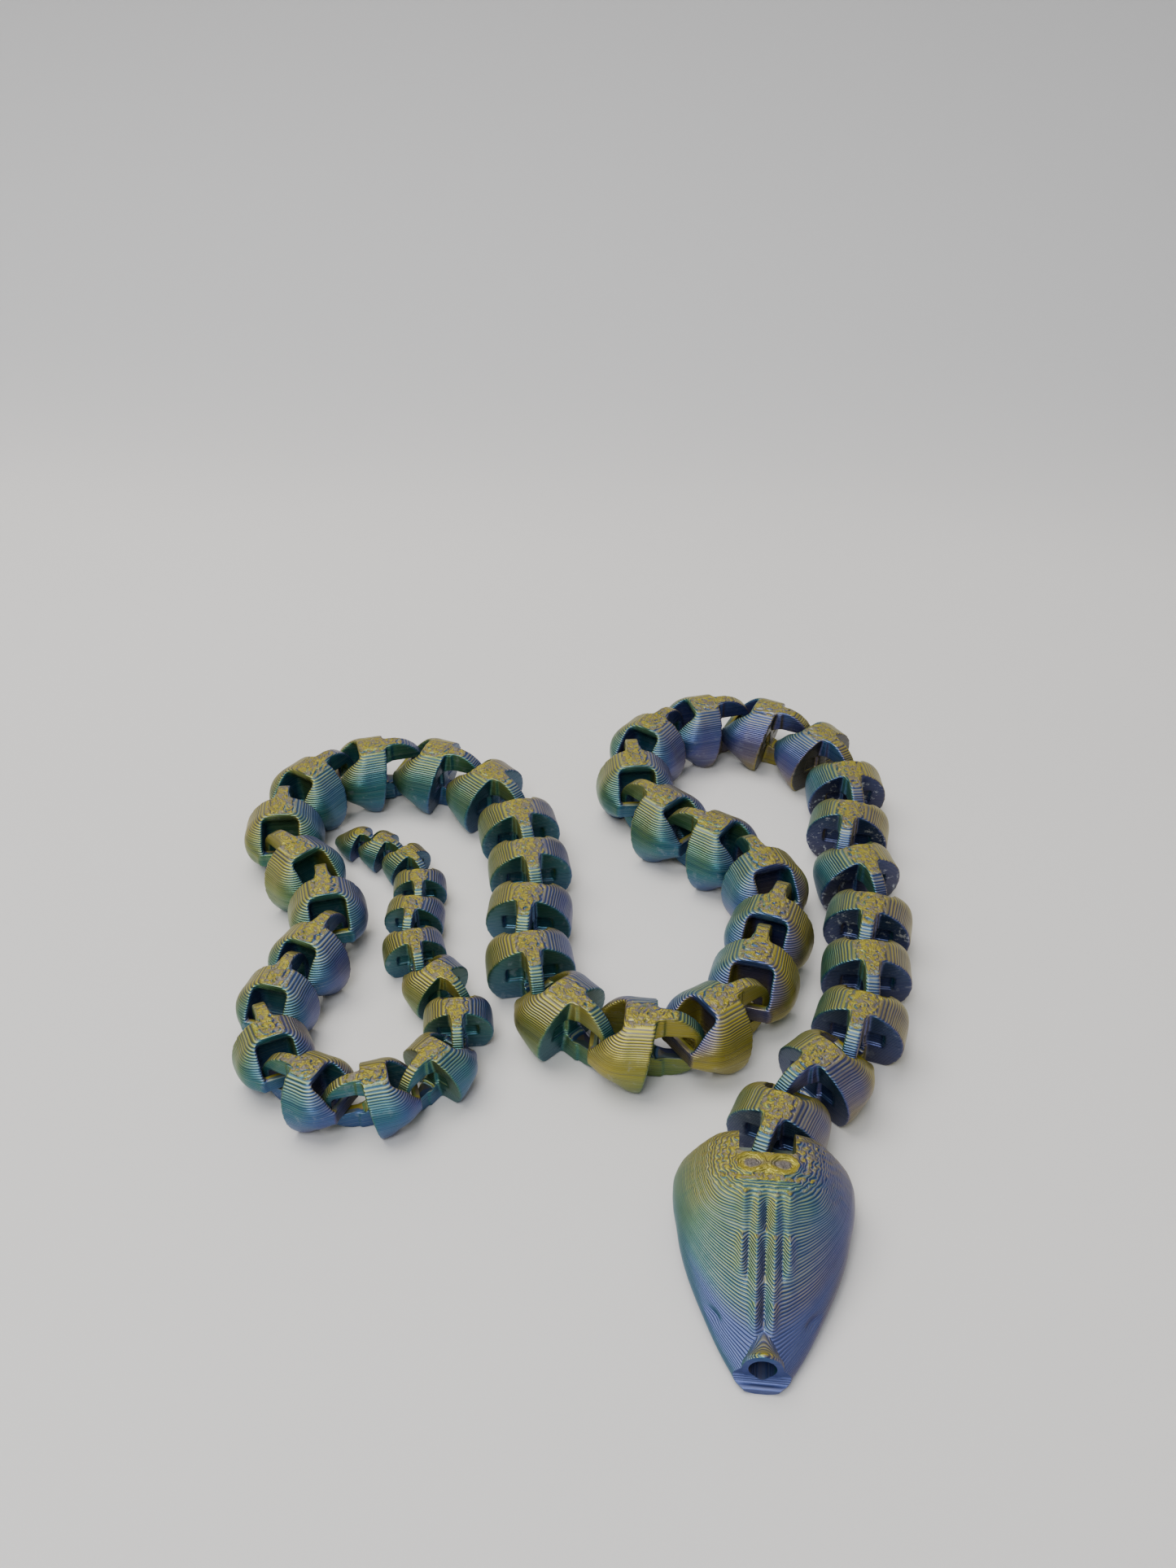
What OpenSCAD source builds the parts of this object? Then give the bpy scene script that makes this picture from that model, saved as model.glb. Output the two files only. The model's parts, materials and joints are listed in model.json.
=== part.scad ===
// Articulated snake that lies in coils: a head, 45 like links and a tail tip.
// Each piece hangs on the one in front by a ring tongue, looped round a bar
// that crosses the notch in that piece's nose.  Every hinge axis is vertical.

/* [Links] */
// Width of a full-size link, the diameter of its round back
body_w = 21; // [17.5:0.5:22]
// Height of a full-size link from its flat belly to the top of its back
body_h = 18.2; // [16:0.2:19.5]
// From the shoulder back to the upper edge of the end face
face_top = 1.4; // [1:0.1:2]
// From the shoulder back to the lower edge of the end face
face_low = 4.8; // [4:0.1:5.5]
// From the shoulder back to where the roof starts to fall
roof_l = 9.2; // [8.8:0.1:10]
// From the shoulder back to where the belly starts to rise
belly_l = 8.4; // [8:0.1:12]
// Half width of the flat belly
belly_half = 6.8; // [6:0.1:7]
// From the shoulder back to where the flanks draw in
flank_l = 13.9; // [13:0.1:14.5]
// From the hinge axis back to the very end of the nose
nose_over = 1.1; // [1.1:0.05:1.5]
// Half width of the nose at its very end
nose_half = 5.5; // [5.2:0.1:6]
// Half width of the two blocks that stop the nose at top and bottom
shoulder_half = 3.3; // [3:0.1:3.6]
// Height of the lower block, from the ground to the pocket
pocket_low = 4.8; // [4:0.1:5]
// Height at which the upper block starts
pocket_high = 13.2; // [12.6:0.1:13.6]
// Depth of the pocket between the blocks
pocket_deep = 4.2; // [3:0.1:4.4]
// Half width of the pocket
pocket_half = 6; // [5.4:0.1:7]

/* [Hinges] */
// From the shoulder back to the hinge axis in the nose
pin_back = 15.3; // [15:0.1:15.6]
// Thickness of the bar, along the body
bar_t = 2; // [1.8:0.1:2.2]
// Underside of the bar above the ground
bar_low = 6.2; // [6.2:0.1:6.6]
// Top of the bar above the ground
bar_high = 10.2; // [9.6:0.1:10.4]
// Diameter of the round collar on the bar, centred on the hinge axis
collar_d = 2.3; // [2.1:0.1:2.5]
// Half width of the notch that the ring swings in
notch_half = 4.7; // [4.5:0.1:4.9]
// From the shoulder back to the notch's front wall, high and low
notch_l = 8.8; // [8.4:0.1:9]
// From the shoulder back to the notch's front wall at mid height
notch_deep_l = 5.8; // [5.6:0.1:6]
// Thickness of the ring
ring_t = 3.3; // [2.8:0.1:3.6]
// Reach of the ring in front of the shoulder
ring_l = 9.2; // [9:0.1:9.4]
// Reach of the ring's slot in front of the shoulder
slot_front = 6.8; // [6.7:0.1:7]
// Reach of the ring's slot behind the shoulder
slot_rear = 3; // [2.4:0.1:3.4]
// Height of the ring's slot
slot_h = 6.6; // [6.4:0.1:7]
// Clearance between the bar and the floor of the ring's slot
bar_gap = 0.4; // [0.3:0.05:0.6]
// Corner radius of the ring's slot
slot_r = 1.2; // [0.6:0.1:1.4]
// Slope taken off the ring's tip at both sides
tip_cut = 1; // [0.6:0.1:1.2]
// Pull between shoulder and hinge axis in a straight hinge
slack_straight = 0.5; // [0.5:0.1:1]
// Pull added for each degree that a hinge lies turned
slack_per_degree = 0.095; // [0.095:0.005:0.11]
// Longest pull that the slot allows
slack_most = 3.6; // [3.5:0.1:3.7]
// Pull in the hinge behind the head, where the first link sits pushed in
slack_neck = 2; // [2:0.1:2.5]

/* [Head] */
// Half width of the head at its cheeks
cheek_half = 18.2; // [16:0.1:19]
// Length of the head in front of its hinge axis
head_l = 46.8; // [43:0.5:51]
// Height of the crown
crown_h = 18.6; // [18:0.1:20]
// Half width of the flat crown
crown_half = 10.4; // [9:0.1:12]
// Length of the crown in front of the hinge axis
crown_l = 14; // [12:0.5:16]
// Height of the snout's bridge at its front end
bridge_h = 7.4; // [7:0.1:8.5]
// Half width of the head's flat underside at the cheeks
jaw_half = 14; // [12:0.1:15]
// Half width of the head's notch, wider than a link's
neck_notch_half = 5.6; // [5.2:0.1:6]
// Diameter of the mouth hole in the snout
mouth_d = 5.4; // [4.6:0.1:5.8]
// Height of the mouth hole's centre
mouth_z = 4.2; // [4:0.1:4.4]
// Diameter of the flared lip round the mouth hole
lip_d = 8; // [7.4:0.1:8.4]
// Diameter of an eye
eye_d = 6; // [5:0.1:7]
// Half the distance between the eyes
eye_half = 3.5; // [3:0.1:5]

/* [Tail] */
// Length of the tail tip behind its shoulder, at full size
tail_l = 21; // [18:0.5:22]
// Half width of the blunt end of the tail tip
tail_end_half = 2.6; // [2:0.1:4]

/* [Hidden] */
LINKS = 45;
names = [for (k = [1:LINKS]) str("link_", k < 10 ? "0" : "", k)];
$fn = 48;
eps = 0.05;

// Turn of each hinge as the snake lies, in degrees, from the neck backwards
TURNS = [
    -20,
    -25, 30, 15, -10, 30,
    -30, 20, 30, 30, 40,
    40, 40, 40, 10, -35,
    -40, 5, -40, -40, -40,
    -35, -15, 15, 5, 30,
    25, 35, 40, 40, 40,
    -30, -40, 10, 40, 40,
    40, 40, 40, 40, -30,
    -20, 10, 35, 20, 0
];
// Size of the links along the body: full size, then a taper to the tail
TAPER = [[29, 1], [36, 0.82], [42, 0.7], [46, 0.48]];

head_back = 20;                       // from the origin back to the neck's hinge axis
axis_z = body_h - body_w / 2;         // height of the round back's centre line
nose_l = pin_back + nose_over;        // from the shoulder back to the nose's end
ring_r = body_h / 2;                  // the ring is as tall as the link
slot_low = bar_low - bar_gap;         // the slot's floor, just under the bar
cut = 60;                             // longer than any piece

function size(k) = lookup(k, TAPER);
function slack(k) = k == 1 ? slack_neck
    : min(slack_most, slack_straight + slack_per_degree * abs(TURNS[k - 1]));
function heading(k) = k == 0 ? -90 : heading(k - 1) + TURNS[k - 1];
function along(a) = [cos(a), sin(a)];
function pin(k) = k == 0 ? [0, head_back]
    : pin(k - 1) - size(k) * (slack(k) + pin_back) * along(heading(k));
function shoulder(k) = pin(k - 1) - size(k) * slack(k) * along(heading(k));

// Silk filament that runs through four colours along the body
SILK = ["#9a9135", "#3f7f62", "#3d6f8f", "#565a93"];
function silk(k) = SILK[floor(k / 4) % len(SILK)];

// A side view in x and z, made w wide about the centre plane
module side(points, w) {
    rotate([90, 0, 0]) linear_extrude(w, center = true) polygon(points);
}

// A plan view, given as its left half from front to back, made solid upwards
module plan(half_points, h) {
    right = [for (i = [len(half_points) - 1:-1:0]) [half_points[i][0], -half_points[i][1]]];
    linear_extrude(h) polygon(concat(half_points, right));
}

// The round back: a lying cylinder over flanks that reach down to the belly
module round_back() {
    translate([1, 0, axis_z]) rotate([0, -90, 0]) cylinder(d = body_w, h = cut, $fn = 96);
    flank = body_w / 2 - 4 * eps;
    translate([1, 0, 0]) rotate([90, 0, -90]) linear_extrude(cut)
        polygon([[-belly_half, 0], [belly_half, 0], [flank, axis_z], [-flank, axis_z]]);
}

// Body of a link behind its end face, with the nose that carries the bar
module barrel() {
    intersection() {
        round_back();
        side([
            [-face_top, body_h + eps], [-face_low, 0], [-belly_l, 0],
            [-nose_l, bar_low], [-nose_l, bar_high],
            [-roof_l, body_h + eps]
        ], body_w);
        plan([[0, body_w / 2], [-flank_l, body_w / 2], [-nose_l, nose_half]], body_h);
    }
}

// Blocks at the top and bottom of the end face that the nose behind stops on
module shoulders() {
    intersection() {
        round_back();
        translate([-face_low - 1, -shoulder_half, 0])
            cube([face_low + 1, 2 * shoulder_half, body_h]);
    }
}

// Pocket in the end face between the blocks
module pocket() {
    mid = (pocket_low + pocket_high) / 2;
    side([
        [eps, pocket_low], [eps, pocket_high],
        [-pocket_deep, mid + 1.8], [-pocket_deep, mid - 1.8]
    ], 2 * pocket_half);
}

// Upright notch in the nose, undercut at mid height, where the ring swings
module notch(half) {
    side([
        [-notch_l, cut], [-notch_l, body_h - 2.4],
        [-notch_deep_l, body_h - 5.4], [-notch_deep_l, 5.4],
        [-notch_l, 2.4], [-notch_l, -1], [-cut, -1], [-cut, cut]
    ], 2 * half);
}

// Bar across the notch, with a round collar on the hinge axis
module bar(reach) {
    translate([-pin_back - bar_t / 2, -reach, bar_low])
        cube([bar_t, 2 * reach, bar_high - bar_low]);
    translate([-pin_back, 0, bar_low]) cylinder(d = collar_d, h = bar_high - bar_low);
}

// Ring tongue: an upright disc with a rounded slot for the bar in front
module ring() {
    difference() {
        intersection() {
            translate([ring_l - ring_r, 0, ring_r]) rotate([90, 0, 0])
                cylinder(r = ring_r, h = ring_t, center = true, $fn = 96);
            plan([
                [ring_l, ring_t / 2 - tip_cut], [ring_l - tip_cut, ring_t / 2],
                [-notch_deep_l + eps, ring_t / 2]
            ], body_h);
        }
        slot(ring_t + 1);
    }
}

// The ring's slot, seen from the side, w wide
module slot(w) {
    low = slot_low + slot_r;
    rotate([90, 0, 0]) linear_extrude(w, center = true) union() {
        for (x = [slot_front - slot_r, slot_r - slot_rear], z = [low, low + slot_h - 2 * slot_r])
            translate([x, z]) circle(r = slot_r);
        translate([-slot_rear, low]) square([slot_front + slot_rear, slot_h - 2 * slot_r]);
        translate([slot_r - slot_rear, low - slot_r])
            square([slot_front + slot_rear - 2 * slot_r, slot_h]);
    }
}

// Front end that links and tail tip share: face, pocket, shoulders and ring
module front_end() {
    difference() {
        union() {
            children();
            shoulders();
        }
        pocket();
    }
    ring();
}

module link() {
    difference() {
        front_end() barrel();
        slot(ring_t);
        notch(notch_half);
    }
    bar(notch_half + 0.3);
}

module tail_tip() {
    difference() {
        front_end() intersection() {
            round_back();
            side([
                [-face_top, body_h + eps], [-face_low, 0], [-tail_l + 8, 0],
                [-tail_l, 3], [-tail_l, 6], [-tail_l + 14, body_h + eps]
            ], body_w);
            plan([[0, body_w / 2], [-belly_l, body_w / 2], [-tail_l, tail_end_half]], body_h);
        }
        slot(ring_t);
    }
}

// Wall of the head along one cheek: rises from the jaw and leans in to the crown
module cheek_wall(angle) {
    lean = cheek_half - crown_half;
    rotate([0, 0, angle]) rotate([90, 0, 90]) linear_extrude(4 * cut, center = true) polygon([
        [-cut, 0], [jaw_half - cheek_half, 0], [0, 4.5], [0, 7],
        [-lean * 0.45, crown_h - 4.5], [-lean, crown_h], [-cut, crown_h]
    ]);
}

// The head without its socket, pointing along +x from its hinge axis
module head_shell() {
    taper = atan2(cheek_half - 5.6, head_l - 2.5 - 12);
    intersection() {
        side([
            [-1, 4], [-1, crown_h - 2], [1, crown_h], [crown_l, crown_h],
            [head_l - 9, bridge_h + 0.6], [head_l - 5, bridge_h], [head_l - 1.5, bridge_h + 0.4],
            [head_l, mouth_z], [head_l - 1.5, 0], [2, 0]
        ], 3 * body_w);
        plan([
            [head_l, 2.8], [head_l - 2.5, 5.6], [12, cheek_half], [4, cheek_half],
            [1.6, cheek_half - 4], [0, cheek_half - 9], [-1.2, neck_notch_half + 1]
        ], crown_h);
        for (m = [0, 1]) mirror([0, m, 0]) {
            translate([12, cheek_half, 0]) cheek_wall(0);
            translate([12, cheek_half, 0]) cheek_wall(-taper);
        }
    }
}

// Ridges on the bridge of the snout, either side of a groove
module bridge_ridges() {
    fall = atan2(crown_h - bridge_h, head_l - 9 - crown_l);
    for (m = [0, 1]) mirror([0, m, 0])
        translate([crown_l - 1, 1.6, crown_h - 0.4]) rotate([0, 90 + fall, 0])
            cylinder(d = 2.2, h = head_l - 16 - crown_l);
}

module eyes() {
    for (m = [0, 1]) mirror([0, m, 0])
        translate([crown_l - 5, eye_half, crown_h - eye_d * 0.42]) sphere(d = eye_d);
}

module snout_lip() {
    translate([head_l - 4, 0, mouth_z]) rotate([0, 90, 0])
        cylinder(d1 = mouth_d + 1, d2 = lip_d, h = 3.6);
}

module head() {
    difference() {
        union() {
            head_shell();
            eyes();
            bridge_ridges();
            snout_lip();
        }
        translate([pin_back, 0, 0]) notch(neck_notch_half);
        translate([head_l - 8, 0, mouth_z]) rotate([0, 90, 0]) cylinder(d = mouth_d, h = 9);
    }
    translate([pin_back, 0, 0]) bar(neck_notch_half + 0.3);
}

// Puts a piece whose shoulder is at its origin where link k lies
module placed(k) {
    p = shoulder(k);
    translate([p[0], p[1], 0]) rotate([0, 0, heading(k)]) scale(size(k)) children();
}

color(SILK[2]) translate([0, head_back, 0]) rotate([0, 0, heading(0)]) head();
for (k = [1:LINKS])
    color(silk(k)) placed(k) link();
color(SILK[1]) placed(LINKS + 1) tail_tip();
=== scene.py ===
import json
from math import cos, pi, radians, sin

import bmesh
import bpy
import numpy as np
from bpy.props import FloatProperty, FloatVectorProperty, IntProperty, PointerProperty
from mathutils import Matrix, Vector


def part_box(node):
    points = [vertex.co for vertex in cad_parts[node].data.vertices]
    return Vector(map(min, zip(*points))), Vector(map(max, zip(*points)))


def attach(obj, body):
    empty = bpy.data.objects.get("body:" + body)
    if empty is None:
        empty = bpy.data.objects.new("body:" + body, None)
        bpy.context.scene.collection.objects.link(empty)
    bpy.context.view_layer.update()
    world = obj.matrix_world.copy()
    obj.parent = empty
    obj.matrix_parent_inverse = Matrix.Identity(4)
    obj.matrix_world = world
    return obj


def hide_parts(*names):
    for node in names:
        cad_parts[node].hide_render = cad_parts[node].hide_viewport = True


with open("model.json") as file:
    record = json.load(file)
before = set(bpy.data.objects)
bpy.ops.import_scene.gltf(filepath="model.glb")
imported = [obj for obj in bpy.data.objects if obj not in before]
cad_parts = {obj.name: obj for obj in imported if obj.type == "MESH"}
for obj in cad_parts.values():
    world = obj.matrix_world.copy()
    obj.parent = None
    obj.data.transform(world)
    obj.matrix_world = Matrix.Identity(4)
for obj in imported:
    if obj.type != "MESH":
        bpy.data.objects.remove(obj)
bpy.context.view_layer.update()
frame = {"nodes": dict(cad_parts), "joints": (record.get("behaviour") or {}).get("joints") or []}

bl_info = {
    "name": "Printed Snake",
    "version": (1, 0, 0),
    "blender": (4, 5, 0),
    "location": "View3D > Sidebar > Snake",
    "description": "An articulated snake printed in one piece from silk filament of several colours",
    "category": "Object",
}

mm = 0.001
LINKS = sorted(name for name in frame["nodes"] if name.startswith("link_"))
HINGE = {joint["child"]: joint["pos_m"] for joint in frame["joints"]}
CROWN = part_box("head")[1].z

# sizes in millimetres that the tables of the shapes below were drawn for
CHEEK = 18.1
RELIEF = 0.8
WIDTH = 20.9
# from a link's shoulder back to the bar that the next ring hangs on
PIN_BACK = 15.3
# the tail tip has no bar, and its nose ends this much further back
TAIL_EXTRA = 0.5
# the height that the lowest faces keep above the ground
GROUND = 0.02

# an eye: its place behind the neck's hinge and beside the middle, and its half axes
EYE_ALONG = 9.2
EYE_ASIDE = 3.3
EYE_LONG = 1.9
EYE_WIDE = 2.8


# ---------------------------------------------------------------- settings

class HeadSettings(bpy.types.PropertyGroup):
    """Sizes of the sculpted head."""

    cheek: FloatProperty(
        name="Cheek", description="Half width of the head at its cheeks",
        default=CHEEK * mm, unit="LENGTH")
    crown: FloatProperty(
        name="Crown", description="Height of the crown above the ground",
        default=CROWN - 0.1 * mm, unit="LENGTH")
    notch: FloatProperty(
        name="Notch", description="Half width of the notch that the first ring swings in",
        default=5.6 * mm, unit="LENGTH")
    mouth: FloatProperty(
        name="Mouth", description="Diameter of the mouth hole",
        default=5.2 * mm, unit="LENGTH")
    relief: FloatProperty(
        name="Relief", description="Height of the eyes and the ridges on the bridge",
        default=RELIEF * mm, unit="LENGTH")
    rows: IntProperty(
        name="Rows", description="Rings of points along the head",
        default=190, min=40)
    columns: IntProperty(
        name="Columns", description="Points round one half of a ring",
        default=100, min=24)


class LinkSettings(bpy.types.PropertyGroup):
    """Sizes of a full-size link and how its edges are softened."""

    width: FloatProperty(
        name="Width", description="Width of a full-size link",
        default=WIDTH * mm, unit="LENGTH")
    notch: FloatProperty(
        name="Notch", description="Half width of the notch that the ring swings in",
        default=4.7 * mm, unit="LENGTH")
    ring: FloatProperty(
        name="Ring", description="Thickness of the ring",
        default=3.3 * mm, unit="LENGTH")
    blobs: FloatProperty(
        name="Blobs", description="Depth of the rough top between its blobs",
        default=0.28 * mm, unit="LENGTH")
    grain: FloatProperty(
        name="Grain", description="Size of the net that a link's skin is laid with",
        default=0.36 * mm, unit="LENGTH")
    passes: IntProperty(
        name="Passes", description="How often a link's skin is smoothed",
        default=4, min=0)


class SilkSettings(bpy.types.PropertyGroup):
    """Colours and surface of the silk filament."""

    gold: FloatVectorProperty(
        name="Gold", description="Filament colour of the tops and of one flank",
        subtype="COLOR", size=3, default=(0.33, 0.27, 0.022))
    olive: FloatVectorProperty(
        name="Olive", description="Filament colour between gold and green",
        subtype="COLOR", size=3, default=(0.19, 0.215, 0.03))
    green: FloatVectorProperty(
        name="Green", description="Filament colour between olive and teal",
        subtype="COLOR", size=3, default=(0.06, 0.165, 0.065))
    teal: FloatVectorProperty(
        name="Teal", description="Filament colour between green and blue",
        subtype="COLOR", size=3, default=(0.022, 0.135, 0.15))
    blue: FloatVectorProperty(
        name="Blue", description="Filament colour between teal and violet",
        subtype="COLOR", size=3, default=(0.035, 0.10, 0.235))
    violet: FloatVectorProperty(
        name="Violet", description="Filament colour between blue and brown",
        subtype="COLOR", size=3, default=(0.06, 0.068, 0.225))
    mauve: FloatVectorProperty(
        name="Mauve", description="Filament colour between violet and brown",
        subtype="COLOR", size=3, default=(0.11, 0.09, 0.15))
    brown: FloatVectorProperty(
        name="Brown", description="Filament colour between mauve and gold",
        subtype="COLOR", size=3, default=(0.18, 0.135, 0.06))
    layer: FloatProperty(
        name="Layer", description="Height of a printed layer as the head shows it",
        default=0.28 * mm, unit="LENGTH")
    metallic: FloatProperty(
        name="Metallic", description="How metallic the silk looks",
        default=0.62, min=0, max=1)
    roughness: FloatProperty(
        name="Roughness", description="Roughness of the silk on an even wall",
        default=0.34, min=0, max=1)


class StageSettings(bpy.types.PropertyGroup):
    """Camera, backdrop and lights."""

    camera: FloatVectorProperty(
        name="Camera", description="Where the camera stands",
        subtype="TRANSLATION", unit="LENGTH", size=3,
        default=(-17.40 * mm, -174.94 * mm, 247.80 * mm))
    tilt: FloatProperty(
        name="Tilt", description="How far the camera looks up from straight down",
        default=radians(53.135), subtype="ANGLE")
    pan: FloatProperty(
        name="Pan", description="How far the camera turns to the left",
        default=radians(5.43), subtype="ANGLE")
    lens: FloatProperty(
        name="Lens", description="Focal length of the camera in millimetres",
        default=33.63)
    paper: FloatVectorProperty(
        name="Paper", description="Colour of the paper backdrop",
        subtype="COLOR", size=3, default=(0.80, 0.775, 0.75))
    sweep: FloatProperty(
        name="Sweep", description="Where the paper starts to rise behind the snake",
        default=360 * mm, unit="LENGTH")


# ------------------------------------------------------------ shader maths

class Wire:
    """A socket or number in a material, on which expressions add Math nodes."""

    def __init__(self, tree, value=None):
        self.tree = tree
        self.value = value

    def node(self, kind, settings=None, **inputs):
        """Adds a node of a kind: its settings first, a ramp's stops among
        them, then the values or links of its sockets, named or _numbered."""
        made = self.tree.nodes.new(kind)
        for name, value in (settings or {}).items():
            if name == "stops":
                set_stops(made.color_ramp.elements, value)
            else:
                setattr(made, name, value)
        for name, value in inputs.items():
            numbered = name[0] == "_" and name[1:].isdigit()
            key = int(name[1:]) if numbered else name.replace("_", " ")
            plug(self.tree, made.inputs[key], value)
        return made

    def maths(self, operation, *values):
        sockets = {f"_{i}": value for i, value in enumerate(values)}
        return Wire(self.tree, self.node("ShaderNodeMath", {"operation": operation}, **sockets).outputs[0])

    def __add__(self, other):
        return self.maths("ADD", self, other)

    def __radd__(self, other):
        return self.maths("ADD", other, self)

    def __sub__(self, other):
        return self.maths("SUBTRACT", self, other)

    def __rsub__(self, other):
        return self.maths("SUBTRACT", other, self)

    def __mul__(self, other):
        return self.maths("MULTIPLY", self, other)

    def __rmul__(self, other):
        return self.maths("MULTIPLY", other, self)

    def __truediv__(self, other):
        return self.maths("DIVIDE", self, other)

    def fraction(self):
        return self.maths("FRACT", self)

    def wave(self):
        return self.maths("SINE", self)

    def turn(self, other):
        return self.maths("ARCTAN2", self, other)

    def at_most(self, other):
        return self.maths("MINIMUM", self, other)

    def parts(self):
        """The three parts of this vector."""
        return [Wire(self.tree, part) for part in self.node("ShaderNodeSeparateXYZ", Vector=self).outputs]

    def step(self, low, high):
        """0 below low, 1 above high and a smooth rise between them."""
        settings = {"interpolation_type": "SMOOTHSTEP", "clamp": True}
        made = self.node("ShaderNodeMapRange", settings, Value=self, From_Min=low, From_Max=high)
        return Wire(self.tree, made.outputs[0])

    def noise(self, scale, detail=2.0, rough=0.5, stretch=(1, 1, 1)):
        """Noise over this vector, stretched along each axis, about 0.5."""
        moved = self.node("ShaderNodeMapping", Vector=self, Scale=stretch)
        made = self.node("ShaderNodeTexNoise", {"noise_dimensions": "3D"}, Vector=moved.outputs[0],
                         Scale=scale, Detail=detail, Roughness=rough)
        return Wire(self.tree, made.outputs["Fac"])

    def ramp(self, stops):
        """Colour of this value on a ramp of (position, colour) stops."""
        return Wire(self.tree, self.node("ShaderNodeValToRGB", {"stops": stops}, _0=self).outputs[0])

    def mix(self, a, b):
        """Colour a where this value is 0 and colour b where it is 1."""
        made = self.node("ShaderNodeMix", {"data_type": "RGBA"}, _0=self, _6=a, _7=b)
        return Wire(self.tree, made.outputs[2])


def set_stops(elements, stops):
    """Gives a ramp the (position, colour) stops."""
    while len(elements) < len(stops):
        elements.new(0.5)
    for element, (position, colour) in zip(elements, stops):
        element.position = position
        element.color = (*colour, 1)


def plug(tree, socket, value):
    """Links a wire or an output to a socket, or sets the socket's own value."""
    value = value.value if isinstance(value, Wire) else value
    if isinstance(value, bpy.types.NodeSocket):
        tree.links.new(value, socket)
    elif socket.type == "RGBA" and len(value) == 3:
        socket.default_value = (*value, 1)
    else:
        socket.default_value = value


def tint(*parts):
    """A colour summed from (share, colour) pairs."""
    return tuple(sum(share * np.array(colour) for share, colour in parts))


def new_material(name):
    """An empty material with its tree, Principled shader and coordinates."""
    material = bpy.data.materials.new(name)
    material.use_nodes = True
    tree = material.node_tree
    tree.nodes.clear()
    shader = Wire(tree).node("ShaderNodeBsdfPrincipled")
    output = Wire(tree).node("ShaderNodeOutputMaterial")
    tree.links.new(shader.outputs[0], output.inputs[0])
    return material, tree, shader, Wire(tree).node("ShaderNodeTexCoord").outputs


# --------------------------------------------------------------- materials

WHITE = (1, 1, 1)
DUSKY = (0.11, 0.10, 0.15)
SNOUT = (0.070, 0.095, 0.26)
SCUFF = (0.42, 0.45, 0.50)
# painted shade: the dark navy and dark teal that end faces looking ahead are darkened to, standing for the
# shade they sit in
END_SHADE_BLUE = (0.016, 0.026, 0.085)
END_SHADE_TEAL = (0.012, 0.075, 0.085)
# painted sheen: the paler colours that the treads are lit to, by the place on the wall's ramp
PAINTED_TREAD_SHEEN = [
    (0.31, (0.30, 0.32, 0.06)), (0.44, (0.17, 0.31, 0.19)), (0.54, (0.13, 0.32, 0.33)),
    (0.65, (0.16, 0.26, 0.42)), (0.75, (0.16, 0.17, 0.36)), (0.85, (0.25, 0.20, 0.19)),
]


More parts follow.
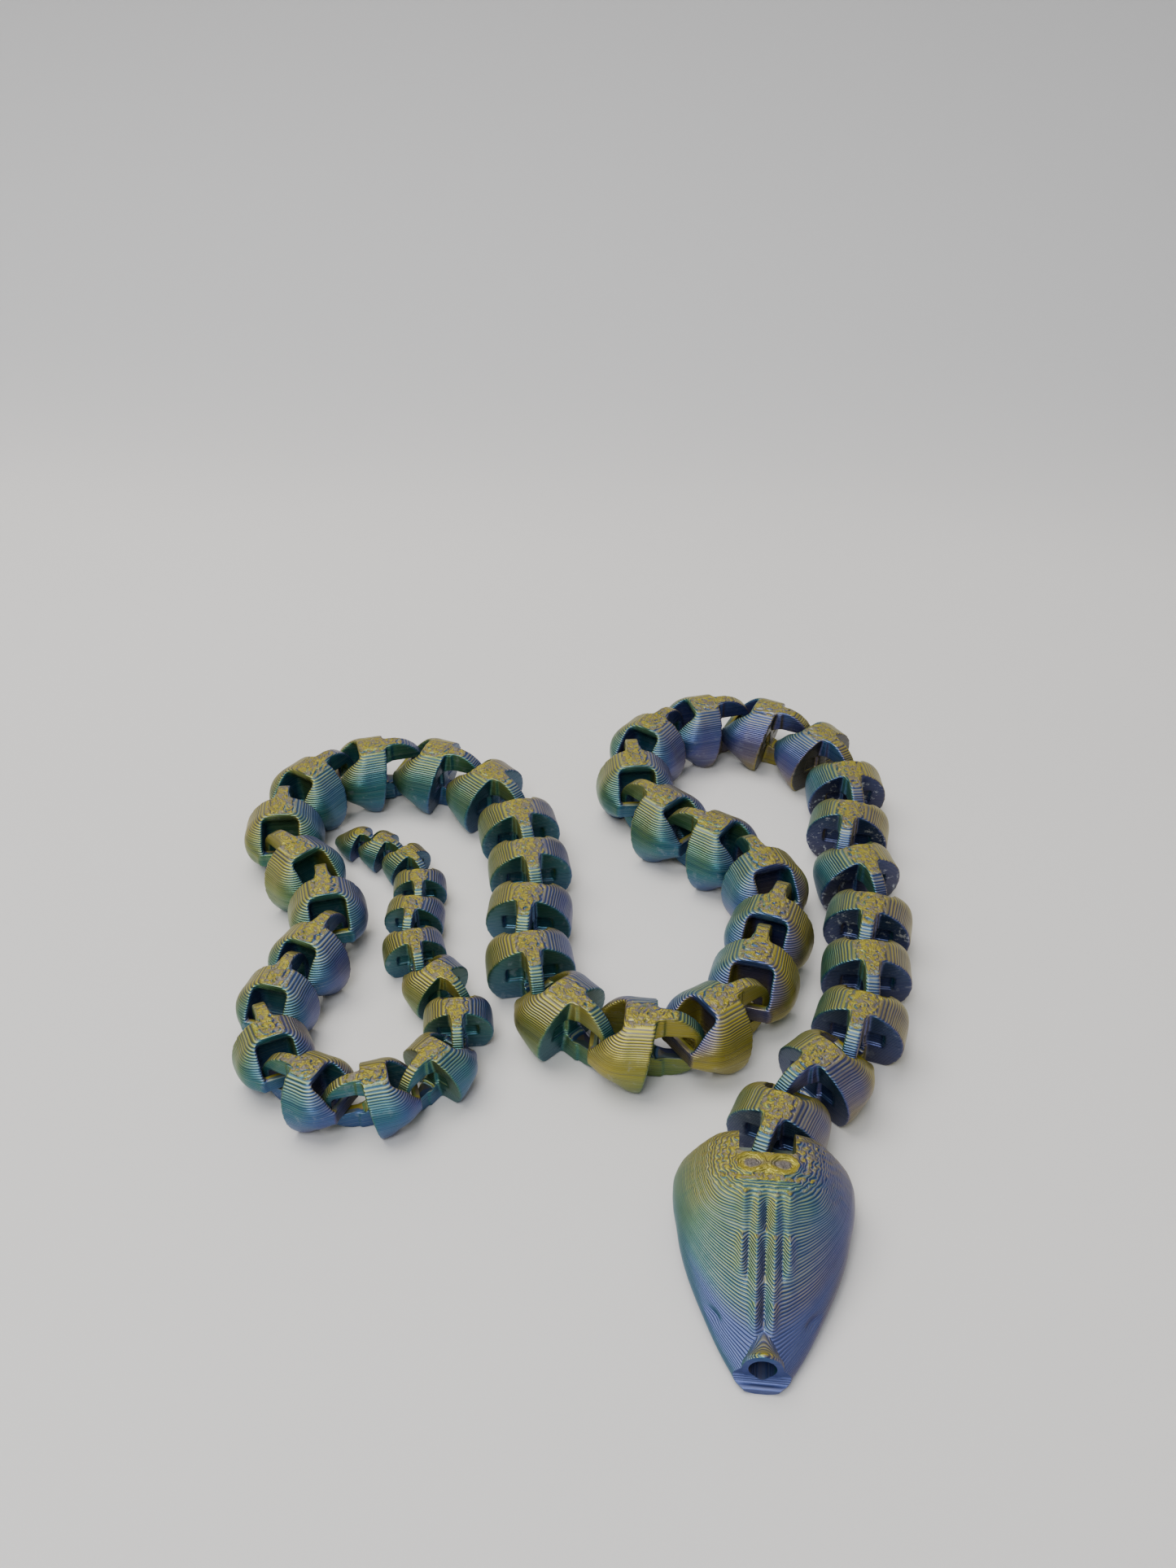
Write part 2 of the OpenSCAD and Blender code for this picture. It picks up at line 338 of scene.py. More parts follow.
def silk(name, colours, turned=0.0, scuffs=0.0, size=1.0, slip=7.0, coarse=1.5, end=None, eyes=None):
    """Silk filament: its colour goes round with the direction a wall faces, in
    degrees turned for each link, and slips towards the next colour lower down.
    Flat tops are rough and blobby, and walls show the lines of the layers,
    coarse times their height, with painted sheen on the treads.  End is the
    direction, dark colour and share of an end face's painted shade, and eyes
    the neck's hinge, for the head's own colours."""
    material, tree, shader, here = new_material(name)
    place = Wire(tree, here["Object"])
    place_x, place_y, place_z = place.parts()
    nx, ny, nz = Wire(tree, here["Normal"]).parts()
    z = place_z / mm
    gold, olive, green, teal = colours.gold, colours.olive, colours.green, colours.teal
    blue, violet, mauve, brown = colours.blue, colours.violet, colours.mauve, colours.brown

    # direction from the front, rising to the right, as a share of a full turn,
    # and slip degrees more for each millimetre further down
    drift = place.noise(90, 2, 0.5)
    direction = nx.turn(0 - ny) / (2 * pi)
    lower = (14.3 - z / size) * (slip / 360)
    lower = lower.at_most(0.26) * (0.62 - 0.38 * nx)
    shift = lower + (drift - 0.5) * 0.12 + turned / 360
    wall = (direction + shift + 2.5).fraction()
    colour = wall.ramp([(0.0, gold), (0.20, gold), (0.31, olive), (0.44, green), (0.54, teal), (0.65, blue),
                        (0.75, violet), (0.81, mauve), (0.875, brown), (0.95, gold)])

    # layer lines: where a wall leans, the edge of each layer shows its tread
    bands = place.noise(1.0, 2, 0.7, (14, 14, 2600))
    wobble = (place.noise(160, 2) - 0.5) * 2
    lines = (z * (2 * pi / (colours.layer * coarse / mm)) + wobble).wave() * 0.5 + 0.5
    lean = nz.step(0.10, 0.80)
    tread = lines.step(0.45, 0.75) * lean * (place.noise(300, 2, 0.6).step(0.25, 0.60) * 0.6 + 0.4)
    # painted sheen: treads are lifted to paler copies of the wall's colours, and to a brighter gold where
    # they face up; the gold tone of up-facing layer edges is the silk's own, the paler lift stands for light
    # shining on them
    sheen_gold = tint((1.25, gold))
    tread_sheen = wall.ramp([(0.0, sheen_gold), *PAINTED_TREAD_SHEEN, (0.95, sheen_gold)])
    colour = (tread * 0.85).mix(colour, (nz.step(0.5, 0.95) * 0.6).mix(tread_sheen, tint((1.2, gold))))
    riser = (1 - lines).step(0.50, 0.85) * lean
    colour = (riser * 0.68).mix(colour, tint((0.36, violet), (0.12, blue)))
    colour = ((0.5 - bands).step(-0.02, 0.16) * 0.30).mix(colour, tint((0.55, blue)))
    colour = ((bands - 0.5).step(0.0, 0.2) * 0.25).mix(colour, tint((0.5, teal), (0.25, WHITE)))

    # rough top: gold with blobs of the other colour, and short dashes
    blobs = place.noise(620, 3, 0.6)
    top = (nz + (blobs - 0.5) * 0.10).step(0.955, 0.988) * (z / size).step(11.0, 14.0)
    spots = (blobs + (place.noise(1500, 1, 0.5) - 0.5) * 0.5).step(0.48, 0.58)
    rough_top = (spots * 0.6).mix(tint((1.1, gold)), tint((0.6, violet), (0.4, mauve)))
    colour = (top * 0.85).mix(colour, rough_top)

    # painted shade: an end face that looks ahead is mixed by its share towards a dark navy or teal, which
    # stands for the shade it sits in
    if end:
        ahead, face, share = end
        end_shade_mask = (nx * ahead[0] + ny * ahead[1]).step(0.70, 0.90)
        colour = (end_shade_mask * share).mix(colour, face)

    # the head: gold rings round dusky eyes, and a plain blue snout low in front
    if eyes:
        across = place_x / mm - eyes[0] / mm
        along = (eyes[1] / mm - place_y / mm - EYE_ALONG) / EYE_LONG
        aside = (across * across - EYE_ASIDE ** 2) / (2 * EYE_ASIDE * EYE_WIDE)
        out = along * along + aside * aside
        colour = ((2.0 - out).step(0.0, 0.6) * 0.8).mix(colour, tint((1.15, gold)))
        colour = ((0.5 - out).step(0.0, 0.35) * 0.8).mix(colour, DUSKY)
        low_front = (8.6 - z).step(0.0, 2.4) * (nz * nz + (0 - ny).step(0.75, 0.95)).step(0.10, 0.45)
        colour = (low_front * 0.85).mix(colour, SNOUT)

    # scuffs on walls that rubbed on the next link
    if scuffs:
        rub = place.noise(420, 4, 0.75).step(0.56, 0.66) * (0 - ny).step(0.75, 0.95) * scuffs
        colour = rub.mix(colour, SCUFF)

    rough = colours.roughness + top * 0.22 + (bands - 0.5) * 0.25 + (lines - 0.5) * 0.08
    height = lines * (0.5 + lean * 0.7) + bands * 0.6 + top * (blobs * 5.0 - spots * 2.2)
    bump = place.node("ShaderNodeBump", Height=height, Strength=0.7, Distance=0.12 * mm)
    plug(tree, shader.inputs["Base Color"], colour)
    plug(tree, shader.inputs["Roughness"], rough)
    plug(tree, shader.inputs["Normal"], bump.outputs[0])
    shader.inputs["Metallic"].default_value = colours.metallic
    shader.inputs["Specular IOR Level"].default_value = 0.5
    return material


def paper(name, colour):
    """Matt paper with a faint tooth and a slow unevenness, and painted shade that makes it darker far behind,
    where the lamps' light falls off.
    """
    material, tree, shader, here = new_material(name)
    place = Wire(tree, here["Object"])
    near = (place.noise(6, 3, 0.5).step(0.3, 0.7) * 0.5).mix(tuple(colour), tint((0.96, colour)))
    # painted shade: the paper far behind is darkened, standing for the light falling off with distance
    far_shade = tuple(0.80 * np.array(colour) * [0.98, 1, 1.03])
    bump = place.node("ShaderNodeBump", Height=place.noise(2400, 2, 0.6), Strength=0.06, Distance=0.1 * mm)
    plug(tree, shader.inputs["Base Color"], place.parts()[1].step(0.28, 0.46).mix(near, far_shade))
    plug(tree, shader.inputs["Normal"], bump.outputs[0])
    shader.inputs["Roughness"].default_value = 0.75
    shader.inputs["Specular IOR Level"].default_value = 0.2
    return material


# ------------------------------------------------------------------ shapes

def flow(t, at, value):
    """A smooth curve through the values at the given places: cubic pieces
    whose slopes at the places are those of the neighbours' chords."""
    at = np.asarray(at, float)
    value = np.asarray(value, float)
    slope = np.gradient(value, at, axis=0)
    i = np.clip(np.searchsorted(at, t, side="right") - 1, 0, len(at) - 2)
    wide = at[i + 1] - at[i]
    u = ((t - at[i]) / wide).reshape((-1,) + (1,) * (value.ndim - 1))
    wide = wide.reshape(u.shape)
    return (value[i] * (1 + 2 * u) * (1 - u) ** 2 + value[i + 1] * u * u * (3 - 2 * u)
            + wide * (slope[i] * u * (1 - u) ** 2 - slope[i + 1] * u * u * (1 - u)))


def hill(t, middle, half):
    """A smooth hill of height 1 about the middle: the exponential of minus
    the square of the distance from it in half widths."""
    return np.exp(-(((t - middle) / half) ** 2))


def window(t, low, high, soft):
    """1 between low and high, falling to 0 over a soft edge on both sides."""
    return 1 / (1 + np.exp(-(t - low) / soft)) / (1 + np.exp((t - high) / soft))


def ripple(x, y, seed):
    """An uneven surface between -1 and 1: a sum of sine waves a millimetre or
    two long that run in many directions."""
    rng = np.random.default_rng(seed)
    total = np.zeros_like(x)
    for _ in range(14):
        way, long, start = rng.uniform(0, 2 * pi), rng.uniform(0.9, 2.2), rng.uniform(0, 2 * pi)
        total += np.sin(2 * pi / long * (x * cos(way) + y * sin(way)) + start)
    return total / 5.3


def mirrored(right):
    """Rings of points closed by their own mirror image across y = 0."""
    left = (right * [1, -1, 1])[:, -2:0:-1]
    return np.concatenate([right, left], 1)


def mesh_object(name, points, faces):
    """A mesh object at the origin from arrays of points and faces."""
    mesh = bpy.data.meshes.new(name)
    mesh.from_pydata(np.asarray(points, float).tolist(), [], [list(map(int, face)) for face in faces])
    mesh.validate()
    mesh.update()
    made = bpy.data.objects.new(name, mesh)
    bpy.context.scene.collection.objects.link(made)
    return made


def closed_tube(rings):
    """Faces of a tube of rings of points, each ring closed, with a fan to a
    middle point at either end, all facing outwards.  Returns points and faces."""
    rows, columns = rings.shape[:2]
    i, j = np.meshgrid(np.arange(rows - 1), np.arange(columns), indexing="ij")
    k = (j + 1) % columns
    quads = np.stack([i * columns + j, i * columns + k, (i + 1) * columns + k, (i + 1) * columns + j], -1)
    points = np.concatenate([rings.reshape(-1, 3), rings[[0, -1]].mean(1)])
    first, last = rows * columns, rows * columns + 1
    c = np.arange(columns)
    d = (c + 1) % columns
    start = np.stack([np.full(columns, first), d, c], -1)
    end = np.stack([np.full(columns, last), (rows - 1) * columns + c, (rows - 1) * columns + d], -1)
    return points, quads.reshape(-1, 4).tolist() + start.tolist() + end.tolist()


def prism(outline, half):
    """An outline in x and z made solid across y from -half to half."""
    outline = np.asarray(outline, float)
    n = len(outline)
    low = np.insert(outline, 1, -half, axis=1)
    high = np.insert(outline, 1, half, axis=1)
    c = np.arange(n)
    d = (c + 1) % n
    sides = np.stack([c, c + n, d + n, d], -1).tolist()
    return np.concatenate([low, high]), sides + [list(range(n)), list(range(2 * n - 1, n - 1, -1))]


def oblong(x_low, z_low, x_high, z_high):
    """The outline of a rectangle in x and z."""
    return [(x_low, z_low), (x_high, z_low), (x_high, z_high), (x_low, z_high)]


def notch_space(lip, half, back, corner):
    """The space of a notch: a plan with two round front corners, carried
    upwards.  Its front stands at the lip near the ground and the top, and is
    3 mm deeper in the middle of the height."""
    deep = lip + 3.0
    a = np.linspace(0, pi / 2, 9)
    rings = []
    for z, front in [(-1, lip), (2.4, lip), (5.4, deep), (12.8, deep), (15.8, lip), (30, lip)]:
        x = np.append(front - (corner - corner * np.cos(a)), back)
        y = np.append(half - corner + corner * np.sin(a), half)
        height = np.full(2 * len(x), float(z))
        rings.append(np.stack([np.append(x, x[::-1]), np.append(y, -y[::-1]), height], -1))
    return closed_tube(np.array(rings))


def rod(start, radius, length, around=48):
    """A round rod along x: a circle carried along it."""
    a = np.linspace(0, 2 * pi, around, endpoint=False)
    ring = np.zeros((2, around, 3))
    ring[:, :, 1] = radius * np.cos(a)
    ring[:, :, 2] = radius * np.sin(a)
    ring[1, :, 0] = length
    return closed_tube(ring + np.asarray(start, float))


def outwards(mesh):
    """Turns every face of a closed mesh outwards."""
    work = bmesh.new()
    work.from_mesh(mesh)
    bmesh.ops.recalc_face_normals(work, faces=work.faces)
    work.to_mesh(mesh)
    work.free()


def finished(piece):
    """The mesh of a piece with its modifiers applied."""
    bpy.context.view_layer.update()
    return bpy.data.meshes.new_from_object(piece.evaluated_get(bpy.context.evaluated_depsgraph_get()))


def combine(piece, shape, operation):
    """Cuts the points and faces of a closed shape, in millimetres, from a
    piece, or adds them to it."""
    points, faces = shape
    other = mesh_object("part", points * mm, faces)
    for made in (piece, other):
        outwards(made.data)
    step = piece.modifiers.new("Combine", "BOOLEAN")
    step.operation = operation
    step.solver = "EXACT"
    step.object = other
    result = finished(piece)
    piece.modifiers.clear()
    old = piece.data
    piece.data = result
    result.name = piece.name
    bpy.data.meshes.remove(old)
    bpy.data.objects.remove(other)


def column(items, name, wide=1, kind=float):
    """One property of all vertices, corners or faces of a mesh as an array."""
    values = np.zeros(len(items) * wide, kind)
    items.foreach_get(name, values)
    return values.reshape(-1, wide) if wide > 1 else values


# -------------------------------------------------------------------- head

# the head along x from its hinge axis, in millimetres: half width, height of
# the top, half width of the top's flat, and half width of the flat underside
HEAD_X = [-1.2, 0.4, 2.5, 5.0, 8.0, 12.0, 16.0, 20.0, 25.0, 30.0, 34.0, 38.0, 41.0, 43.5, 45.6, 46.6]
HALF = [11.5, 14.4, 16.8, 17.9, 18.1, 17.8, 17.0, 16.2, 14.7, 12.7, 10.9, 9.0, 7.4, 5.9, 4.6, 3.4]
TOP = [15.6, 17.6, 18.3, 18.4, 18.4, 18.2, 17.0, 14.7, 12.4, 10.3, 8.7, 7.1, 6.1, 5.4, 4.8, 4.2]
FLAT = [7.0, 8.6, 9.8, 10.2, 10.4, 10.0, 8.8, 7.4, 5.8, 4.6, 3.7, 2.8, 2.4, 2.2, 1.8, 1.4]
JAW = [9.0, 11.0, 13.0, 13.9, 14.2, 13.9, 13.2, 12.5, 11.2, 9.4, 7.8, 6.0, 4.8, 3.6, 2.4, 1.4]
# the mouth: the height of its middle, and the horn round it by place and radius
MOUTH_Z = 4.6
HORN_X = [33, 38, 40.5, 42.5, 43.8, 44.5]
HORN_R = [2.0, 2.3, 2.6, 3.2, 3.9, 3.8]


def head_relief(x, y):
    """Height of the head's relief at full strength: hills in rings round the
    eyes, brows, a domed crown, and ridges and grooves down the bridge."""
    eye = np.hypot((x - EYE_ALONG) / EYE_LONG, (y - EYE_ASIDE) / EYE_WIDE)
    relief = 0.42 * hill(eye, 1.0, 0.30) - 0.10 * hill(eye, 0.5, 0.3)
    relief = relief + 0.12 * ripple(x, y, 7) * window(x, 1.0, 14.5, 0.5)
    dome = 0.55 * (y / 10) ** 2 + 0.25 * ((x - 8) / 7) ** 2
    relief = relief - window(x, -4, 14.5, 1.0) * dome + 0.25 * hill(x, 12.2, 0.9) * hill(y, 3.5, 2.2)
    bridge = window(x, 17.0, 38.5, 0.7) * (1 - 0.6 * hill(x, 22.0, 0.9)) * (1 - 0.5 * hill(x, 33.5, 0.8))
    relief = relief + bridge * 0.65 * hill(y, 1.7, 0.85)
    grooves = sum(window(x, low, high, 0.4) for low, high in ((16.5, 21.0), (23.5, 29.5), (31.5, 37.0)))
    relief = relief - 0.75 * grooves * hill(y, 0.0, 0.6)
    relief = relief + 0.65 * window(x, 22.5, 28.5, 0.5) * hill(y, 4.6, 0.8)
    relief = relief - 0.35 * window(x, 22.0, 29.0, 0.8) * hill(y, 3.2, 0.4)
    relief = relief + 0.35 * window(x, 15.0, 20.0, 0.5) * hill(y, 4.4, 1.0)
    relief = relief + 0.35 * hill(x, 13.2, 0.7) * window(y, -1, 6.5, 0.6)
    return relief + 0.25 * hill(x, 3.2, 0.9) * window(y, -1, 7.5, 0.6)


def head_skin(sizes):
    """The head's outside as a function of two parameters: the place along x
    gives half width, height, flat and jaw, and a second parameter runs round
    the section from the underside's middle over the cheek to the top's
    middle, through points set by those four.  Relief is added to the top."""
    x = flow(np.linspace(0, 1, sizes.rows), np.linspace(0, 1, len(HEAD_X)), HEAD_X)
    half, top, flat, jaw = (flow(x, HEAD_X, values) for values in (HALF, TOP, FLAT, JAW))
    half, flat, jaw = (value * sizes.cheek / (CHEEK * mm) for value in (half, flat, jaw))
    top = np.minimum(top, sizes.crown / mm)
    zero = np.zeros_like(x)
    wide = 0.30 * top + 0.3
    net = np.stack([
        np.stack([zero, zero], -1),
        np.stack([0.6 * jaw, zero], -1),
        np.stack([jaw, 0.1 + zero], -1),
        np.stack([0.45 * jaw + 0.55 * half + 0.5, 0.40 * wide], -1),
        np.stack([half, wide], -1),
        np.stack([half - 0.10 * (half - flat), wide + 0.30 * (top - wide)], -1),
        np.stack([half - 0.42 * (half - flat), wide + 0.66 * (top - wide)], -1),
        np.stack([flat + 0.16 * (half - flat), top - 0.10 * (top - wide)], -1),
        np.stack([0.72 * flat, top - 0.02 * (top - wide)], -1),
        np.stack([0.36 * flat, top], -1),
        np.stack([zero, top], -1),
    ], 0)
    section = flow(np.linspace(0, len(net) - 1, sizes.columns), np.arange(len(net)), net)
    y, z = section[:, :, 0].T, section[:, :, 1].T
    x = np.repeat(x[:, None], sizes.columns, 1)
    upper = np.clip((z / top[:, None] - 0.55) / 0.3, 0, 1)
    z = z + upper * head_relief(x, y) * (sizes.relief / (RELIEF * mm))
    slit = hill(np.hypot((x - 34.6) / 2.0, (z - 5.2) / 0.75), 0, 0.8)
    y = y - 0.75 * slit * (y > 3)
    return mirrored(np.stack([x, y, np.maximum(z, GROUND)], -1))


def build_head(sizes):
    """The sculpted head: its skin, the notch, the step in front under the
    mouth, the horn round the mouth hole, the hole and the hinge bar, turned so
    that the snout points towards the front."""
    points, faces = closed_tube(head_skin(sizes))
    head = mesh_object("snake_head", points * mm, faces)
    notch = sizes.notch / mm
    combine(head, notch_space(6.5, notch, -20, 0.9), "DIFFERENCE")
    combine(head, prism([(44.3, 30), (44.3, 2.6), (45.2, 1.7), (48, 1.0), (48, 30)], 9), "DIFFERENCE")
    x = np.linspace(33, 44.5, 24)
    a = np.linspace(0, 2 * pi, 48, endpoint=False)
    r = flow(x, HORN_X, HORN_R)[:, None]
    horn = np.stack([x[:, None] + 0 * r * a, r * np.cos(a), MOUTH_Z + r * np.sin(a)], -1)
    combine(head, closed_tube(horn), "UNION")
    combine(head, rod((40.6, 0, MOUTH_Z), sizes.mouth / mm / 2, 8), "DIFFERENCE")
    combine(head, prism(oblong(-1, 6.2, 1, 10.2), notch + 0.8), "UNION")
    neck = HINGE["link_01"]
    turn = np.array([[0, 1, 0], [-1, 0, 0], [0, 0, 1]], float)
    points = column(head.data.vertices, "co", 3) @ turn.T + [neck[0], neck[1], 0]
    head.data.vertices.foreach_set("co", points.ravel())
    head.data.update()
    outwards(head.data)
    head.data.shade_smooth()
    head.data.set_sharp_from_angle(angle=radians(42))
    return head


# ------------------------------------------------------------------- links

# a link from its end face back to its nose, at full size in millimetres: half
# width, top, underside before the ground cuts it, and how boxy the section is
LINK = {
    "at": [0, 0.15, 0.3, 0.45, 0.6, 0.7, 0.8, 0.9, 1.0],
    "half": [10.45, 10.45, 10.4, 10.3, 9.9, 9.3, 8.3, 7.0, 5.9],
    "top": [18.1, 18.1, 18.05, 17.8, 16.7, 15.3, 13.6, 11.9, 10.6],
    "under": [-2.8, -2.6, -1.6, 0.2, 1.9, 3.0, 4.1, 5.1, 5.9],
    "boxy": [2, 2, 2, 2.05, 2.2, 2.4, 2.7, 3.1, 3.6],
    "long": 16.4,
}
TAIL = {
    "at": [0, 0.2, 0.4, 0.6, 0.8, 0.95, 1.0],
    "half": [10.45, 10.3, 9.2, 7.2, 5.0, 3.0, 1.6],
    "top": [18.1, 17.7, 15.6, 12.4, 9.2, 7.0, 5.8],
    "under": [-2.8, -2.0, -0.6, 0.4, 1.4, 2.4, 3.4],
    "boxy": [2, 2, 2, 2, 2, 2, 2],
    "long": 20.8,
}
# how far the colours are turned on each link, in degrees, from the neck back
TURNED = [
    45, 65, 62, 58, 62, 70, 70, 80, 115,
    110, 60, 30, 5, 0, 8, 70, 85, 100,
    140, 255, 310, 345, 0, 0, 0, 0, 0,
    -20, -30, -50, -50, -15, 10, 0, 0, 25,
    0, -35, -25, -50, -15, 0, 0, 10, 5,
]
# how big each link, and last the tail tip, is beside the first, from the neck back
SIZE = np.interp(np.arange(1, 47), [29, 36, 42, 46], [1, 0.82, 0.7, 0.48])


def barrel_skin(table, rows=56, columns=64):
    """A link's outside as a function of two parameters: the first leads from
    the leaning end face back to the nose and gives half width, top, underside
    and boxiness; the second runs round a section, a superellipse of those
    four that the ground cuts off flat."""
    u = np.linspace(0, 1, rows)
    half, top, under, boxy = (
        flow(u, table["at"], table[name])[:, None] for name in ("half", "top", "under", "boxy"))
    a = np.linspace(-pi / 2, pi / 2, columns)[None, :]
    power = 2 / boxy
    y = half * np.abs(np.cos(a)) ** power
    z = (top + under) / 2 + (top - under) / 2 * np.sign(np.sin(a)) * np.abs(np.sin(a)) ** power
    z = np.maximum(z, 0)
    face = 4.8 - 3.4 * z / 18.2
    x = -(face * (1 - u[:, None]) + table["long"] * u[:, None])
    return mirrored(np.stack([x, y, z], -1))


def build_barrel(name, table, sizes, notched):
    """A full-size link or tail tip at the origin, its shoulder at x = 0 and
    its nose towards -x: skin, shoulder block, pocket, ring with its slot,
    notch and bar.  Returns its points in millimetres and their normals, and
    the corners and starts of its faces."""
    skin = barrel_skin(table)
    skin[..., 1] *= sizes.width / (WIDTH * mm)
    points, faces = closed_tube(skin)
    link = mesh_object(name, points * mm, faces)
    half, notch = sizes.ring / mm / 2, sizes.notch / mm
    combine(link, prism(oblong(-5.9, GROUND, -0.02, 17.6), 2.2), "UNION")
    combine(link, prism([(0.5, 4.8), (0.5, 13.2), (-4.2, 10.8), (-4.2, 7.2)], 6), "DIFFERENCE")

    # ring: a disc cut off behind, and a slot with round corners through it
    a = np.linspace(0, 2 * pi, 97)[:-1]
    disc = np.stack([np.maximum(0.1 + 9.08 * np.cos(a), -5.7), 9.1 + 9.08 * np.sin(a)], -1)
    combine(link, prism(disc, half), "UNION")
    a = np.linspace(0, pi / 2, 7)
    slot = np.concatenate([
        np.stack([x + 1.2 * np.cos(a + quarter * pi / 2), z + 1.2 * np.sin(a + quarter * pi / 2)], -1)
        for quarter, (x, z) in enumerate([(5.6, 11.2), (-1.8, 11.2), (-1.8, 7.0), (5.6, 7.0)])])
    combine(link, prism(slot, half + 0.05), "DIFFERENCE")

    if notched:
        combine(link, notch_space(-8.8, notch, -30, 1.5), "DIFFERENCE")
        combine(link, prism(oblong(-16.25, 6.25, -14.35, 10.15), notch + 0.7), "UNION")
    net = link.modifiers.new("Net", "REMESH")
    net.mode = "VOXEL"
    net.voxel_size = sizes.grain
    even = link.modifiers.new("Even", "SMOOTH")
    even.factor = 0.5
    even.iterations = sizes.passes
    mesh = finished(link)
    made = (column(mesh.vertices, "co", 3) / mm, column(mesh.vertices, "normal", 3),
            column(mesh.loops, "vertex_index", 1, int), column(mesh.polygons, "loop_start", 1, int))
    old = link.data
    bpy.data.objects.remove(link)
    bpy.data.meshes.remove(old)
    bpy.data.meshes.remove(mesh)
    return made


def lay_barrel(name, made, sizes, hinge, ahead, size, seed):
    """A link laid in its place: the full-size one with its own rough top, made
    smaller for the taper, and turned so that its hinge behind and the line to
    the hinge in front fall on the frame's."""
    points, normals, corners, starts = made
    rough = np.clip((normals[:, 2] - 0.93) / 0.05, 0, 1) * (points[:, 2] > 15)
    depth = sizes.blobs / mm * (0.5 + 0.5 * ripple(points[:, 0], points[:, 1], seed))
    points = points - np.stack([0 * rough, 0 * rough, rough * depth], -1)
    points[:, 2] = np.maximum(points[:, 2], GROUND)
    way = np.array(ahead[:2]) - hinge[:2]
    way = way / np.hypot(*way)
    turn = np.array([[way[0], -way[1], 0], [way[1], way[0], 0], [0, 0, 1]])
    shoulder = np.array([hinge[0], hinge[1], 0]) + np.array([way[0], way[1], 0]) * PIN_BACK * mm * size
    points = (points * mm * size) @ turn.T + shoulder
    mesh = bpy.data.meshes.new(name)
    mesh.vertices.add(len(points))
    mesh.vertices.foreach_set("co", points.ravel())
    mesh.loops.add(len(corners))
    mesh.loops.foreach_set("vertex_index", corners)
    mesh.polygons.add(len(starts))
    mesh.polygons.foreach_set("loop_start", starts)
    mesh.update(calc_edges=True)
    mesh.validate()
    mesh.shade_smooth()
    laid = bpy.data.objects.new(name, mesh)
    bpy.context.scene.collection.objects.link(laid)
    return laid


# --------------------------------------------------------------- operators

class SNAKE_OT_head(bpy.types.Operator):
    """Sculpt the head with its eyes, ridges, mouth and socket"""

    bl_idname = "snake.head"
    bl_label = "Head"

    def execute(self, context):
        head = build_head(context.scene.snake_head)
        neck = [float(value) for value in HINGE["link_01"][:2]]
        head.data.materials.append(
            silk("silk_head", context.scene.snake_silk, turned=14, slip=10, coarse=1.0, eyes=neck))
        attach(head, "head")
        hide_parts("head")
        return {"FINISHED"}


class SNAKE_OT_links(bpy.types.Operator):
    """Build the links, each with its own rough top and silk colours"""

    bl_idname = "snake.links"
    bl_label = "Links"

    def execute(self, context):
        sizes = context.scene.snake_links
        made = build_barrel("link", LINK, sizes, True)
        places = [HINGE[name] for name in LINKS] + [HINGE["tail_tip"]]
        for k, name in enumerate(LINKS):
            link = lay_barrel("snake_" + name, made, sizes, places[k + 1], places[k], SIZE[k], k)
            ahead = np.array(places[k][:2]) - places[k + 1][:2]
            ahead = tuple(float(value) for value in ahead / np.hypot(*ahead))
            # painted shade: end faces looking ahead are darkened towards navy on the first twelve links and
            # towards dark teal further back
            end = (ahead, END_SHADE_BLUE, 0.75) if k < 12 else (ahead, END_SHADE_TEAL, 0.45)
            scuffs = 0.9 if 3 < k < 8 else 0.2
            link.data.materials.append(
                silk("silk_" + name, context.scene.snake_silk, TURNED[k], scuffs, SIZE[k], end=end))
            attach(link, name)
            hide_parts(name)
        return {"FINISHED"}


class SNAKE_OT_tail(bpy.types.Operator):
    """Build the tail tip behind the last link"""

    bl_idname = "snake.tail"
    bl_label = "Tail"

    def execute(self, context):
        sizes = context.scene.snake_links
        made = build_barrel("tail", TAIL, sizes, False)
        ahead = np.array(HINGE["tail_tip"][:2])
        before = np.array(HINGE[LINKS[-1]][:2])
        way = (before - ahead) / np.hypot(*(before - ahead))
        nose = ahead - way * (PIN_BACK + TAIL_EXTRA) * mm * SIZE[-1]
        tail = lay_barrel("snake_tail_tip", made, sizes, nose, ahead, SIZE[-1], 60)
        tail.data.materials.append(silk("silk_tail", context.scene.snake_silk, size=SIZE[-1]))
        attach(tail, "tail_tip")
        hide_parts("tail_tip")
        return {"FINISHED"}


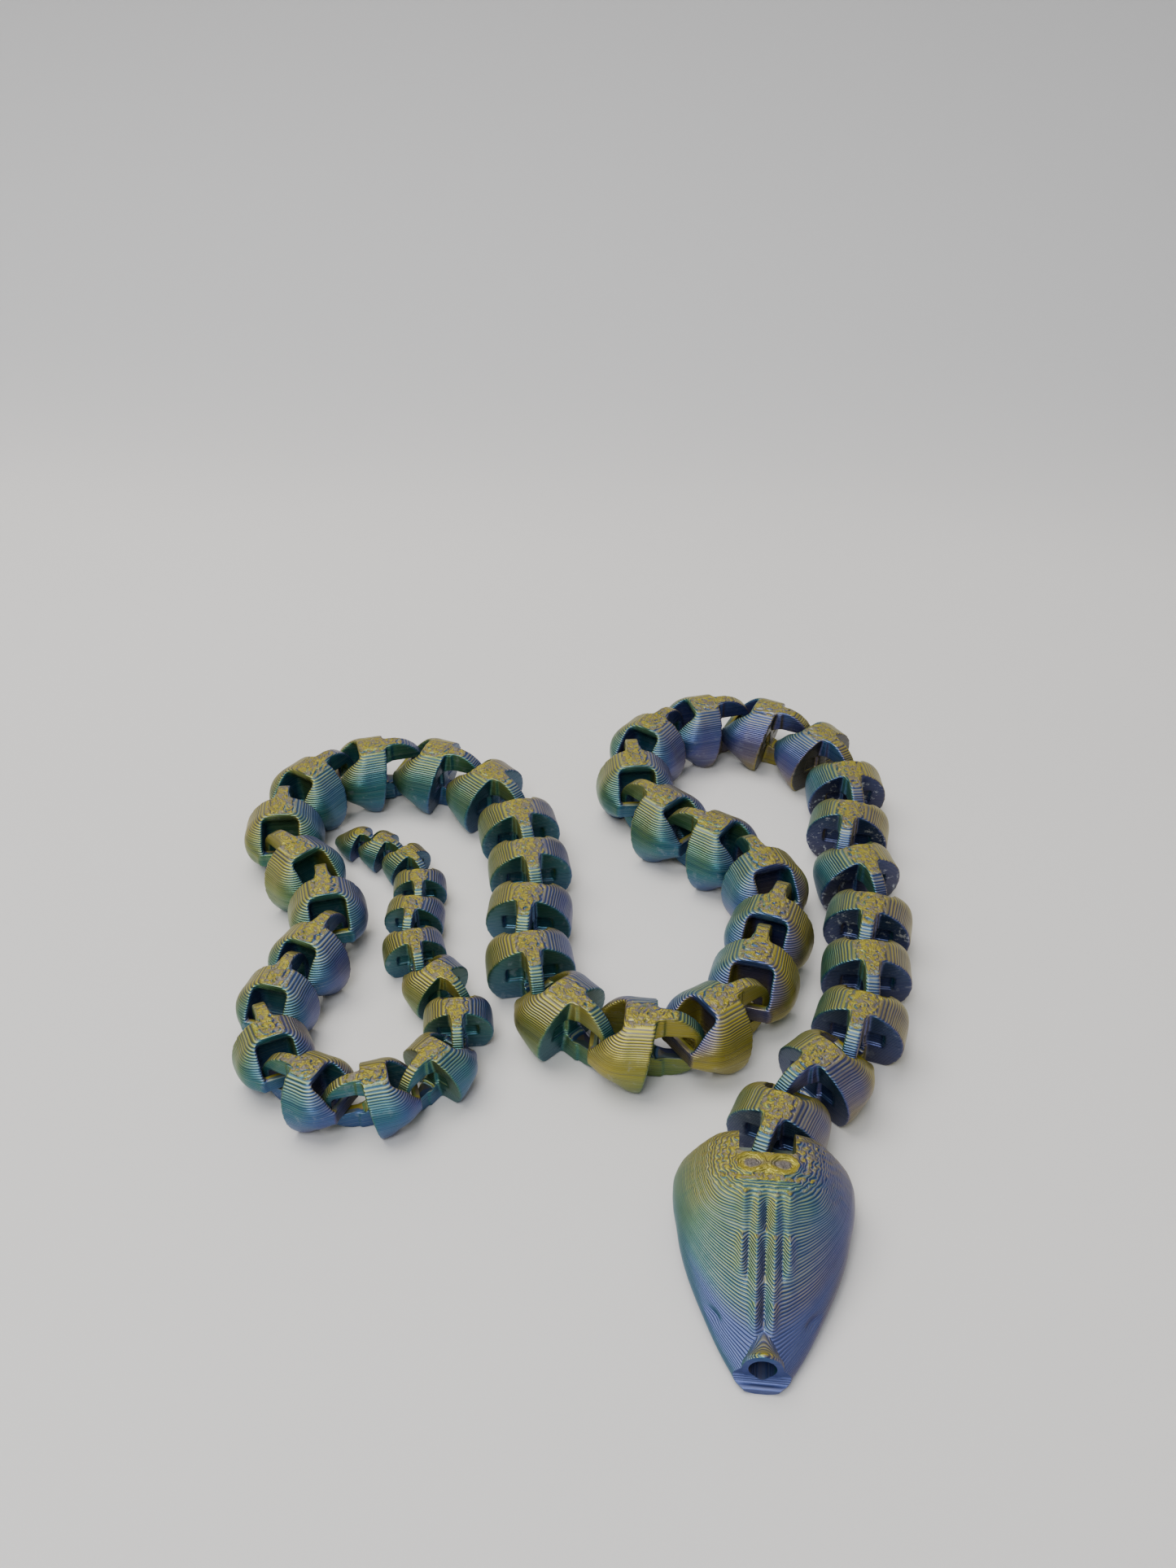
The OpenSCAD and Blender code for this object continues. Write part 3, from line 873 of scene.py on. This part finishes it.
class SNAKE_OT_stage(bpy.types.Operator):
    """Set up the camera, the paper backdrop and the lights"""

    bl_idname = "snake.stage"
    bl_label = "Stage"

    def execute(self, context):
        settings = context.scene.snake_stage
        lens = bpy.data.cameras.new("camera")
        lens.lens = settings.lens
        lens.sensor_width = 36
        lens.clip_start = 0.01
        camera = bpy.data.objects.new("camera", lens)
        camera.location = settings.camera
        camera.rotation_euler = (settings.tilt, 0, settings.pan)
        context.scene.collection.objects.link(camera)
        context.scene.camera = camera

        # paper: a floor that sweeps up into a wall, a profile carried along x
        reach, bend = 1.6, 0.16
        a = np.linspace(0, pi / 2, 24)
        x = np.array([-reach, reach])
        y = np.concatenate([[-reach], settings.sweep + bend * np.sin(a), [settings.sweep + bend]])
        z = np.concatenate([[0], bend - bend * np.cos(a), [reach]])
        grid = np.stack(np.broadcast_arrays(x[None, :], y[:, None], z[:, None]), -1).reshape(-1, 3)
        i = np.arange(len(y) - 1) * 2
        sheet = mesh_object("paper", grid, np.stack([i, i + 1, i + 3, i + 2], -1))
        sheet.data.shade_smooth()
        sheet.data.materials.append(paper("paper", settings.paper))

        for name, place, aim, width, power, colour in (
            ("lamp_top", (-0.35, 0.20, 0.95), (0, 0.05, 0), 0.8, 9.5, (1.0, 0.98, 0.95)),
            ("lamp_front", (-0.12, -0.42, 0.72), (-0.03, 0.03, 0), 0.30, 3.0, (0.94, 0.97, 1.0)),
        ):
            light = bpy.data.lights.new(name, "AREA")
            light.shape = "SQUARE"
            light.size = width
            light.energy = power
            light.color = colour
            lamp = bpy.data.objects.new(name, light)
            lamp.location = place
            lamp.rotation_euler = (Vector(aim) - Vector(place)).to_track_quat("-Z", "Y").to_euler()
            context.scene.collection.objects.link(lamp)

        world = bpy.data.worlds.new("room")
        world.use_nodes = True
        room = world.node_tree.nodes["Background"]
        room.inputs["Color"].default_value = (0.62, 0.66, 0.72, 1)
        room.inputs["Strength"].default_value = 0.42
        context.scene.world = world
        return {"FINISHED"}


class SNAKE_PT_sidebar(bpy.types.Panel):
    """The snake's pieces and the stage"""

    bl_idname = "SNAKE_PT_sidebar"
    bl_label = "Printed Snake"
    bl_space_type = "VIEW_3D"
    bl_region_type = "UI"
    bl_category = "Snake"

    def draw(self, context):
        for group, operator in (("snake_head", "snake.head"), ("snake_links", "snake.links"),
                                ("snake_silk", "snake.tail"), ("snake_stage", "snake.stage")):
            box = self.layout.box()
            settings = getattr(context.scene, group)
            for name in settings.__annotations__:
                box.prop(settings, name)
            box.operator(operator)


SETTINGS = {
    "snake_head": HeadSettings,
    "snake_links": LinkSettings,
    "snake_silk": SilkSettings,
    "snake_stage": StageSettings,
}
CLASSES = (*SETTINGS.values(), SNAKE_OT_head, SNAKE_OT_links, SNAKE_OT_tail, SNAKE_OT_stage, SNAKE_PT_sidebar)


def register():
    for cls in CLASSES:
        bpy.utils.register_class(cls)
    for name, cls in SETTINGS.items():
        setattr(bpy.types.Scene, name, PointerProperty(type=cls))


def unregister():
    for name in SETTINGS:
        delattr(bpy.types.Scene, name)
    for cls in reversed(CLASSES):
        bpy.utils.unregister_class(cls)


def main():
    """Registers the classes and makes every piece."""
    register()
    bpy.ops.snake.stage()
    bpy.ops.snake.head()
    bpy.ops.snake.links()
    bpy.ops.snake.tail()


if __name__ == "__main__":
    main()
